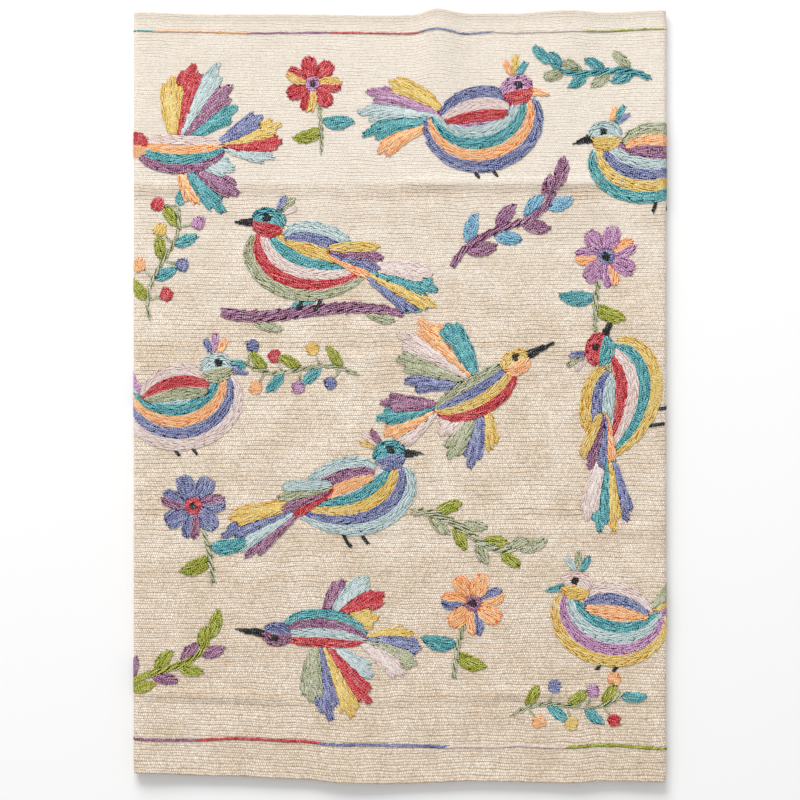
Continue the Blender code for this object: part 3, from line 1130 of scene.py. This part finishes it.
# The border lines. A line of stem stitch in wool runs along each long edge, from end to end,
# and changes colour on its way. The near line is two rows thick.
STEM_STITCH = 7.5
STEM_STEP = 3.9
STEM_SLANT = 0.17
STEM_SWAY = 0.05
STEM_ROW_PITCH = 1.25
STEM_LOOK = 4
FAR_LINE = (
    # along the rug, across it, colour from there on
    (-900, 434.0, "sage"),
    (-770, 434.6, "red"),
    (-650, 433.4, "violet"),
    (-540, 434.8, "pink"),
    (-410, 434.0, "teal"),
    (-291, 435.4, "peach"),
    (-239, 436.8, "peach"),
    (-178, 434.8, "plum"),
    (-81, 436.2, "red"),
    (-25, 436.0, "red"),
    (24, 434.8, "violet"),
    (80, 433.0, "violet"),
    (110, 435.6, "pink"),
    (150, 434.4, "pink"),
    (190, 432.4, "pink"),
    (217, 433.6, "lime"),
    (260, 435.4, "lime"),
    (311, 435.4, "peach"),
)
NEAR_LINE = (
    # along the rug, across it, colour from there on
    (-900, -414.0, "teal"),
    (-760, -412.6, "peach"),
    (-610, -415.0, "lime"),
    (-480, -413.0, "pink"),
    (-380, -414.2, "plum"),
    (-285, -415.8, "plum"),
    (-243, -414.2, "red"),
    (-200, -411.2, "red"),
    (-120, -411.4, "red"),
    (-97, -412.4, "violet"),
    (-25, -410.8, "violet"),
    (20, -412.8, "violet"),
    (53, -415.4, "pink"),
    (110, -415.6, "pink"),
    (141, -413.0, "pink"),
    (193, -414.6, "lime"),
    (260, -414.2, "lime"),
    (307, -417.4, "lime"),
)


def stem_line(course, rows, thread_width):
    """The stitches of a line, each starting halfway along the last and a little aslant."""
    laid = []
    starts, places, colours = zip(*course)
    spot = starts[0]
    while spot < STITCHED_TO:
        folded = over_a_fold(spot)
        length = FOLD_STITCH if folded else STEM_STITCH * chance.uniform(0.85, 1.15)
        colour = colours[np.searchsorted(starts, spot, side="right") - 1]
        behind, ahead = np.interp((spot - STEM_LOOK, spot + STEM_LOOK), starts, places)
        angle = STEM_SLANT + math.atan2(ahead - behind, 2 * STEM_LOOK) + chance.normal(0, STEM_SWAY)
        for row in range(rows):
            aside = (row - (rows - 1) / 2) * STEM_ROW_PITCH + chance.uniform(-0.2, 0.2)
            across = np.interp(spot, starts, places) + aside
            laid.append((spot + 0.5 * STEM_STEP * row, across, angle, length, thread_width, colour))
        spot += FOLD_STITCH if folded else STEM_STEP
    return laid


for name, course, rows, thread_width, tone_power in (
    # the far line is one thin row, painted a little lighter to offset its shade, and the near one
    # two thicker rows, painted darker as shade
    ("far_border_line", FAR_LINE, 1, 0.98, 0.94),
    ("near_border_line", NEAR_LINE, 2, 1.66, 1.28),
):
    piece = stitched_piece(name, stem_line(course, rows, thread_width), tone_power)
    piece.data.materials.append(wool)
    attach(piece, "root")


# The studio. A pale floor, a broad soft light from beyond the rug's far edge and a little to the
# left, and an even white surround.
PIXEL = 0.001187
CAMERA_HEIGHT = 3.2
VIEW_MIDDLE_Y = -0.0039
FRAME_PIXELS = 800
FLOOR = 4.0

floor_mesh = bpy.data.meshes.new("floor")
corners = [(-FLOOR, -FLOOR, 0), (FLOOR, -FLOOR, 0), (FLOOR, FLOOR, 0), (-FLOOR, FLOOR, 0)]
floor_mesh.from_pydata(corners, [], [(0, 1, 2, 3)])
floor = add_object("floor", floor_mesh)


def floor_material():
    """White matt paint, rolled on, with a faint unevenness."""
    nodes = Nodes("floor_paint")
    rolled = nodes.noise(nodes.place(), 260.0)
    broad = nodes.noise(nodes.place(), 1.6)
    values = {
        "Base Color": nodes.mix(broad, (0.915, 0.915, 0.915, 1), (0.94, 0.94, 0.94, 1)),
        "Roughness": rolled * 0.10 + 0.84,
    }
    return nodes.complete(values, rolled, 0.15, 0.0002)


floor_mesh.materials.append(floor_material())

world = bpy.data.worlds.new("surround")
world.use_nodes = True
surround = world.node_tree.nodes["Background"]
surround.inputs["Color"].default_value = (1, 1, 1, 1)
surround.inputs["Strength"].default_value = 0.63
bpy.context.scene.world = world

key_data = bpy.data.lights.new("key", "AREA")
key_data.shape = "RECTANGLE"
key_data.size = 3.6
key_data.size_y = 2.4
key_data.energy = 250
key = add_object("key", key_data)
key.location = (-1.2, 4.2, 2.8)
key.rotation_euler = (math.radians(-56), 0, math.radians(16))

camera_data = bpy.data.cameras.new("camera")
camera_data.sensor_width = 36
seen = FRAME_PIXELS * PIXEL
camera_data.lens = camera_data.sensor_width * (CAMERA_HEIGHT - TOP_Z) / seen
camera = add_object("camera", camera_data)
camera.location = (0, VIEW_MIDDLE_Y, CAMERA_HEIGHT)
bpy.context.scene.camera = camera
bpy.context.scene.view_settings.view_transform = "Standard"
